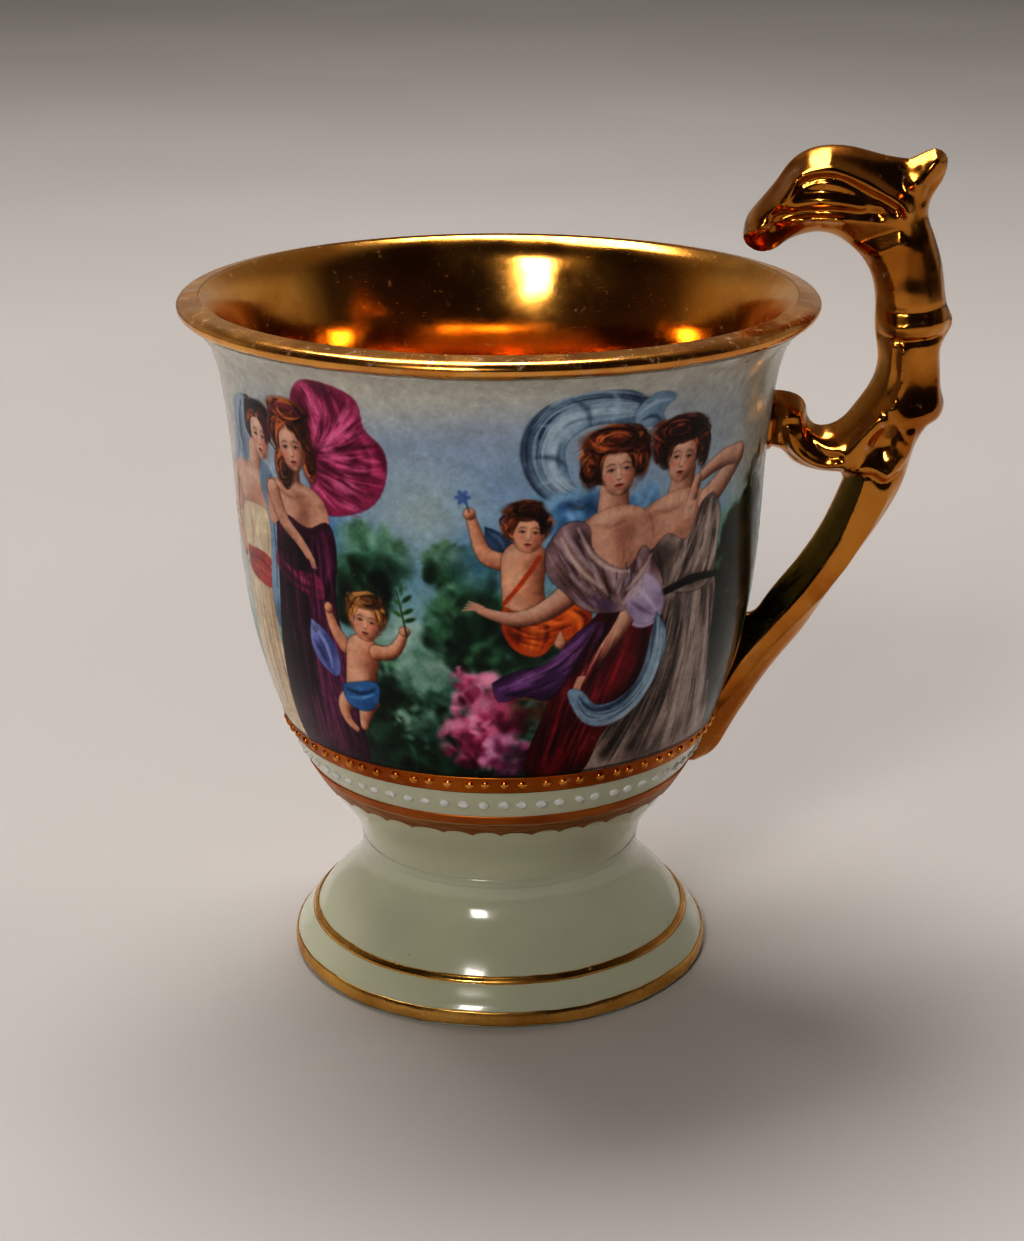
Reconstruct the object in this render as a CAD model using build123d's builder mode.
from build123d import *
import os

# Porcelain shaving mug: a deep cup on a pedestal foot, with a gilt scroll handle.
# The origin is the centre of the foot's base, +Z runs up the cup's axis and +X points at the handle.
# Lengths are in millimetres. Every fired coat lies on the porcelain and is drawn thicker than in life.

# --- Driving dimensions ---
lip_radius = 45.0
lip_edge_radius = 44.6
lip_edge_height = 98.1
lip_roll_radius = 0.75
crest_radius = 41.9
crest_height = 99.9
neck_radius = 20.5
neck_height = 17.2
floor_height = 24.5
floor_radius = 11.0
foot_radius = 31.0
foot_ring_inner_radius = 27.0
foot_hollow_height = 13.0
handle_reach = 64.0
handle_edge_radius = 1.5

slip_thickness = 0.6
coat_thickness = 0.2
coat_root = 1.0

# Heights of the painted and gilt bands on the cup.
scene_top = 97.4
scene_bottom = 39.05
bead_band_bottom = 36.45
dot_height = 33.95
scallop_band_top = 31.8
scallop_valley = 28.7
scallop_tip = 27.65
rim_gilding_bottom = 97.7

# Heights of the gilding on the foot, and the radius of the step that carries the upper line.
foot_line_low = 5.7
foot_line_high = 6.6
foot_step_radius = 28.0
foot_step_low = 6.1
foot_step_high = 6.3
foot_edge_low = 0.65
foot_edge_high = 2.6

# Raised ornament. The free angle keeps it clear of the handle's lower end.
scallop_count = 40
bead_count = 71
bead_radius = 0.68
bead_ring_radius = 31.5
dot_count = 66
dot_radius = 1.0
dot_rise = 0.4
dot_ring_radius = 29.7
handle_clear_angle = 11.0

os.makedirs("parts", exist_ok=True)

# Half sections are drawn with their local x pointing away from the handle, so every seam is at the back.
section_plane = Plane(origin=(0, 0, 0), x_dir=(-1, 0, 0), z_dir=(0, 1, 0))
cup_base = neck_height + slip_thickness
section_reach = 2 * lip_radius


def points_beside(line, distance, count):
    """Points a fixed distance to the right of a curve, seen along its direction of travel."""
    points = []
    for index in range(count):
        position = (index + 0.5) / count
        tangent = line % position
        points.append(line @ position + Vector(tangent.Y, -tangent.X) * distance)
    return points


def band_section(coat, low, high):
    """The part of a coat's half section that lies between two heights."""
    with BuildSketch() as band:
        add(coat)
        with Locations((section_reach / 2, (low + high) / 2)):
            Rectangle(section_reach, high - low, mode=Mode.INTERSECT)
    return band.sketch_local


# --- Section of the cup ---
with BuildSketch() as cup_wall:
    with BuildLine():
        # The outside flares from the neck, stands nearly upright and turns out again to the lip.
        cup_outside = Spline(
            (neck_radius, cup_base),
            (21.5, 21.2),
            (24.8, 26.0),
            (29.2, 33.0),
            (32.8, 42.0),
            (35.7, 53.0),
            (37.2, 65.0),
            (37.9, 78.0),
            (39.0, 88.0),
            (41.3, 95.0),
            (lip_edge_radius, lip_edge_height),
        )
        # The lip rolls over its widest circle and climbs gently to a crest on the inner side.
        lip_roll = RadiusArc(cup_outside @ 1, (lip_radius - 0.5, 99.2), -lip_roll_radius)
        lip_top = Spline(lip_roll @ 1, (crest_radius + 1.1, 99.8), (crest_radius, crest_height))
        # The inside follows the outside at the wall's thickness, down to the floor.
        cup_inside = Spline(
            (crest_radius, crest_height),
            (40.4, 98.8),
            (38.0, 94.2),
            (36.1, 88.0),
            (34.9, 78.0),
            (34.2, 65.0),
            (32.6, 52.5),
            (29.4, 41.5),
            (25.0, 33.3),
            (19.5, 27.7),
            (floor_radius, floor_height),
        )
        Line((floor_radius, floor_height), (0, floor_height))
        Polyline((0, floor_height), (0, cup_base), (neck_radius, cup_base))
    make_face()

# Half section of a coat over the outside and the lip, as far as the crest.
with BuildSketch() as outer_coat:
    with BuildLine():
        coat_face = Spline(
            *points_beside(cup_outside, coat_thickness, 32),
            *points_beside(lip_roll, coat_thickness, 3),
            *points_beside(lip_top, coat_thickness, 4),
            (crest_radius, crest_height + coat_thickness),
        )
        coat_back = Spline(*points_beside(cup_outside, -coat_root, 16))
        Line(coat_face @ 0, coat_back @ 0)
        Polyline(coat_back @ 1, (crest_radius, crest_height - coat_root), coat_face @ 1)
    make_face()
    add(cup_wall.sketch_local, mode=Mode.SUBTRACT)

# Half section of a coat over the inside, from the crest to the axis.
with BuildSketch() as inner_coat:
    with BuildLine():
        coat_face = Spline(
            (crest_radius, crest_height + coat_thickness),
            *points_beside(cup_inside, coat_thickness, 24),
            (floor_radius, floor_height + coat_thickness),
        )
        coat_back = Spline(*points_beside(cup_inside, -coat_root, 16))
        Polyline(
            coat_face @ 1,
            (0, floor_height + coat_thickness),
            (0, floor_height - coat_root),
            coat_back @ 1,
        )
        Polyline(coat_back @ 0, (crest_radius, crest_height - coat_root), coat_face @ 0)
    make_face()
    add(cup_wall.sketch_local, mode=Mode.SUBTRACT)

# Filled half sections below the lip: the cup's outer volume, and the same grown by the slip.
with BuildSketch() as cup_filled:
    with BuildLine():
        add(cup_outside)
        Polyline(cup_outside @ 1, (0, lip_edge_height), (0, cup_base), cup_outside @ 0)
    make_face()

with BuildSketch() as slip_filled:
    with BuildLine():
        slip_face = Spline(*points_beside(cup_outside, slip_thickness, 32))
        Polyline(slip_face @ 1, (0, (slip_face @ 1).Y), (0, (slip_face @ 0).Y), slip_face @ 0)
    make_face()

with BuildPart() as cup_volume:
    with BuildSketch(section_plane):
        add(cup_filled.sketch_local)
    revolve(axis=Axis.Z)

with BuildPart() as slip_volume:
    with BuildSketch(section_plane):
        add(slip_filled.sketch_local)
    revolve(axis=Axis.Z)

# --- Handle ---
# Side outline of the casting, in X and Z. Its inner ends run into the cup and are trimmed off below.
with BuildPart() as handle_blank:
    with BuildSketch(Plane.XZ):
        with BuildLine():
            # Beak tip and crown of the head, down to the notch in front of the horn.
            Spline((34.0, 107.4), (36.2, 112.3), (40.1, 117.8), (45.5, 120.0), (51.1, 119.3), (56.6, 118.1))
            # The rounded horn and the hollow behind it.
            Spline((56.6, 118.1), (60.1, 119.5), (62.1, 117.0), (60.8, 113.7), (59.7, 110.6))
            # Back of the neck, down to the ring.
            Spline((59.7, 110.6), (61.5, 105.0), (62.9, 98.0))
            ThreePointArc((62.9, 98.0), (handle_reach, 95.2), (62.6, 92.4))
            # Lower neck and the knob of the leaf cup.
            Line((62.6, 92.4), (62.6, 87.0))
            Spline((62.6, 87.0), (63.5, 83.0), (61.0, 80.0))
            # Outer edge of the raking leg, tucked under the cup at its lower end.
            Spline(
                (61.0, 80.0),
                (58.4, 72.8),
                (51.3, 60.0),
                (44.3, 49.2),
                (36.6, 38.1),
                (32.6, 31.2),
                (28.0, 28.0),
            )
            # Inside the cup's wall.
            Polyline((28.0, 28.0), (24.0, 27.2), (31.0, 46.0), (34.6, 51.0), (35.8, 51.9))
            # Inner edge of the leg, up to the corner of the finger hole.
            Spline((35.8, 51.9), (42.4, 58.9), (46.9, 66.0), (49.7, 72.9))
            # Underside of the scroll, back to the cup.
            Spline((49.7, 72.9), (46.2, 73.5), (42.5, 74.7), (38.8, 76.9))
            Polyline((38.8, 76.9), (35.0, 77.2), (35.0, 85.3), (39.7, 85.3))
            # Curled end of the scroll and the foot of the thumb gap.
            Spline((39.7, 85.3), (42.9, 84.2), (44.0, 81.9), (46.4, 80.2))
            # Inner edge of the neck and the underside of the head.
            Spline(
                (46.4, 80.2),
                (51.7, 84.6),
                (53.5, 90.6),
                (52.8, 96.0),
                (51.9, 102.2),
                (47.8, 106.9),
                (43.8, 107.9),
                (39.6, 106.3),
                (36.6, 105.1),
                (34.0, 107.4),
            )
        make_face()
    extrude(amount=handle_reach / 4, both=True)
    # Front outline, in Y and Z: slim at the leg's tip, wide at the leaf cup, the ring and the head.
    with BuildSketch(Plane.YZ):
        with BuildLine():
            Line((0, 27.0), (2.4, 27.0))
            Spline(
                (2.4, 27.0),
                (3.7, 34.0),
                (4.2, 55.0),
                (5.4, 77.0),
                (4.7, 88.0),
                (5.3, 95.2),
                (4.6, 101.0),
                (5.1, 112.0),
                (3.4, 119.0),
                (2.0, 121.0),
            )
            Line((2.0, 121.0), (0, 121.0))
            mirror(about=Plane.YZ)
        make_face()
    extrude(amount=2 * handle_reach, mode=Mode.INTERSECT)
    fillet(handle_blank.edges(), handle_edge_radius)

with BuildPart() as handle:
    add(handle_blank.part)
    add(slip_volume.part, mode=Mode.SUBTRACT)
handle.part.label = "handle"
export_step(handle.part, "parts/handle.step")

# --- Slip pads where the handle is luted to the cup ---
with BuildPart() as slip_pads:
    add(handle_blank.part)
    add(slip_volume.part, mode=Mode.INTERSECT)
    add(cup_volume.part, mode=Mode.SUBTRACT)

with BuildPart() as upper_handle_luting_pad:
    add(slip_pads.solids().sort_by(Axis.Z)[-1])
upper_handle_luting_pad.part.label = "upper_handle_luting_pad"
export_step(upper_handle_luting_pad.part, "parts/upper_handle_luting_pad.step")

with BuildPart() as lower_handle_luting_pad:
    add(slip_pads.solids().sort_by(Axis.Z)[0])
lower_handle_luting_pad.part.label = "lower_handle_luting_pad"
export_step(lower_handle_luting_pad.part, "parts/lower_handle_luting_pad.step")

# --- Cup ---
with BuildPart() as bowl:
    with BuildSketch(section_plane):
        add(cup_wall.sketch_local)
    revolve(axis=Axis.Z)
bowl.part.label = "bowl"
export_step(bowl.part, "parts/bowl.step")

# --- Pedestal foot ---
# A convex base slab, a small step that carries a gilt line, and a hollow cone that sweeps up to the neck.
with BuildSketch() as foot_wall:
    with BuildLine():
        foot_slab = Spline(
            (foot_radius - 0.4, 0),
            (foot_radius, 1.4),
            (29.7, 4.0),
            (foot_step_radius, foot_step_low),
        )
        Line(foot_slab @ 0, (foot_ring_inner_radius, 0))
        foot_step = Line(foot_slab @ 1, (foot_step_radius - 0.5, foot_step_high))
        Spline(foot_step @ 1, (25.6, 9.0), (22.6, 12.1), (20.9, 14.8), (neck_radius, neck_height))
        Polyline((neck_radius, neck_height), (0, neck_height), (0, foot_hollow_height))
        hollow_top = Line((0, foot_hollow_height), (9.0, foot_hollow_height))
        Spline(hollow_top @ 1, (17.0, 10.8), (24.5, 3.0), (foot_ring_inner_radius, 0))
    make_face()

with BuildPart() as pedestal_foot:
    with BuildSketch(section_plane):
        add(foot_wall.sketch_local)
    revolve(axis=Axis.Z)
pedestal_foot.part.label = "pedestal_foot"
export_step(pedestal_foot.part, "parts/pedestal_foot.step")

# --- Slip seam between the cup and the foot ---
with BuildPart() as foot_luting_seam:
    with BuildSketch(Plane.XY.offset(neck_height)):
        Circle(neck_radius)
    extrude(amount=slip_thickness)
foot_luting_seam.part.label = "foot_luting_seam"
export_step(foot_luting_seam.part, "parts/foot_luting_seam.step")

# --- Gilding inside the cup and over the lip ---
with BuildPart() as interior_gilding:
    with BuildSketch(section_plane):
        add(inner_coat.sketch_local)
    revolve(axis=Axis.Z)
interior_gilding.part.label = "interior_gilding"
export_step(interior_gilding.part, "parts/interior_gilding.step")

with BuildPart() as rim_gilding:
    with BuildSketch(section_plane):
        add(band_section(outer_coat.sketch_local, rim_gilding_bottom, crest_height + coat_root))
    revolve(axis=Axis.Z)
rim_gilding.part.label = "rim_gilding"
export_step(rim_gilding.part, "parts/rim_gilding.step")

# --- Painted scene round the wall, open where the handle is luted on ---
with BuildPart() as scenic_transfer:
    with BuildSketch(section_plane):
        add(band_section(outer_coat.sketch_local, scene_bottom, scene_top))
    revolve(axis=Axis.Z)
    add(handle_blank.part, mode=Mode.SUBTRACT)
scenic_transfer.part.label = "scenic_transfer"
export_step(scenic_transfer.part, "parts/scenic_transfer.step")

# --- Gold band under the scene ---
with BuildPart() as gilt_bead_band:
    with BuildSketch(section_plane):
        add(band_section(outer_coat.sketch_local, bead_band_bottom, scene_bottom))
    revolve(axis=Axis.Z)
    add(handle_blank.part, mode=Mode.SUBTRACT)
gilt_bead_band.part.label = "gilt_bead_band"
export_step(gilt_bead_band.part, "parts/gilt_bead_band.step")

# --- Lower gold band, with arches cut into its lower edge ---
arch_rise = scallop_valley - scallop_tip
arch_half_width = 2 * arch_rise
arch_radius = (arch_half_width**2 + arch_rise**2) / (2 * arch_rise)
with BuildPart() as scallop_ring:
    with BuildSketch(section_plane):
        add(band_section(outer_coat.sketch_local, scallop_tip, scallop_band_top))
    revolve(axis=Axis.Z)
    add(handle_blank.part, mode=Mode.SUBTRACT)
    with Locations((0, 0, scallop_valley - arch_radius)):
        with PolarLocations(neck_radius, scallop_count, start_angle=180 / scallop_count):
            Cylinder(
                arch_radius,
                neck_radius,
                rotation=(0, 90, 0),
                align=(Align.CENTER, Align.CENTER, Align.MIN),
                mode=Mode.SUBTRACT,
            )

# The ring without the slivers that the handle's tip cuts off.
with BuildPart() as gilt_scallop_band:
    add(scallop_ring.solids().sort_by(SortBy.VOLUME)[-1])
gilt_scallop_band.part.label = "gilt_scallop_band"
export_step(gilt_scallop_band.part, "parts/gilt_scallop_band.step")

# --- Raised ornament: one piece is cut to the wall at a quarter turn and repeated round the cup ---
ornament_arc = 360 - 2 * handle_clear_angle
ornament_start = handle_clear_angle - 90
bead_height = (bead_band_bottom + scene_bottom) / 2

with BuildPart() as gilt_bead:
    with Locations((0, bead_ring_radius, bead_height)):
        Sphere(bead_radius)
    add(cup_volume.part, mode=Mode.SUBTRACT)
    add(gilt_bead_band.part, mode=Mode.SUBTRACT)

with BuildPart() as raised_gilt_beads:
    with PolarLocations(0, bead_count, ornament_start, ornament_arc, endpoint=True):
        add(gilt_bead.part)
raised_gilt_beads.part.label = "raised_gilt_beads"
export_step(raised_gilt_beads.part, "parts/raised_gilt_beads.step")

with BuildPart() as enamel_dot:
    with Locations((0, dot_ring_radius - dot_radius + dot_rise, dot_height)):
        Sphere(dot_radius)
    add(cup_volume.part, mode=Mode.SUBTRACT)

with BuildPart() as white_enamel_dots:
    with PolarLocations(0, dot_count, ornament_start, ornament_arc, endpoint=True):
        add(enamel_dot.part)
white_enamel_dots.part.label = "white_enamel_dots"
export_step(white_enamel_dots.part, "parts/white_enamel_dots.step")

# --- Gilt lines of the foot: one on the step, one round the base slab's edge ---
foot_line_root = foot_step_radius - 1.5
with BuildPart() as foot_gilt_line:
    with BuildSketch(section_plane):
        with BuildLine():
            # The line bulges over the step's corner and thins out above and below it.
            Polyline(
                (foot_line_root, foot_line_low),
                (foot_step_radius + 0.55, foot_line_low),
                (foot_step_radius + 0.15, foot_step_high),
                (foot_step_radius - 0.3, foot_step_high + 0.15),
                (foot_step_radius - 0.4, foot_line_high),
                (foot_line_root, foot_line_high),
                close=True,
            )
        make_face()
        add(foot_wall.sketch_local, mode=Mode.SUBTRACT)
    revolve(axis=Axis.Z)
foot_gilt_line.part.label = "foot_gilt_line"
export_step(foot_gilt_line.part, "parts/foot_gilt_line.step")

with BuildSketch() as foot_edge_coat:
    with BuildLine():
        coat_face = Spline(*points_beside(foot_slab, coat_thickness, 12))
        coat_back = Spline(*points_beside(foot_slab, -coat_root, 6))
        Line(coat_face @ 0, coat_back @ 0)
        Line(coat_face @ 1, coat_back @ 1)
    make_face()
    add(foot_wall.sketch_local, mode=Mode.SUBTRACT)

with BuildPart() as foot_edge_gilding:
    with BuildSketch(section_plane):
        add(band_section(foot_edge_coat.sketch_local, foot_edge_low, foot_edge_high))
    revolve(axis=Axis.Z)
foot_edge_gilding.part.label = "foot_edge_gilding"
export_step(foot_edge_gilding.part, "parts/foot_edge_gilding.step")
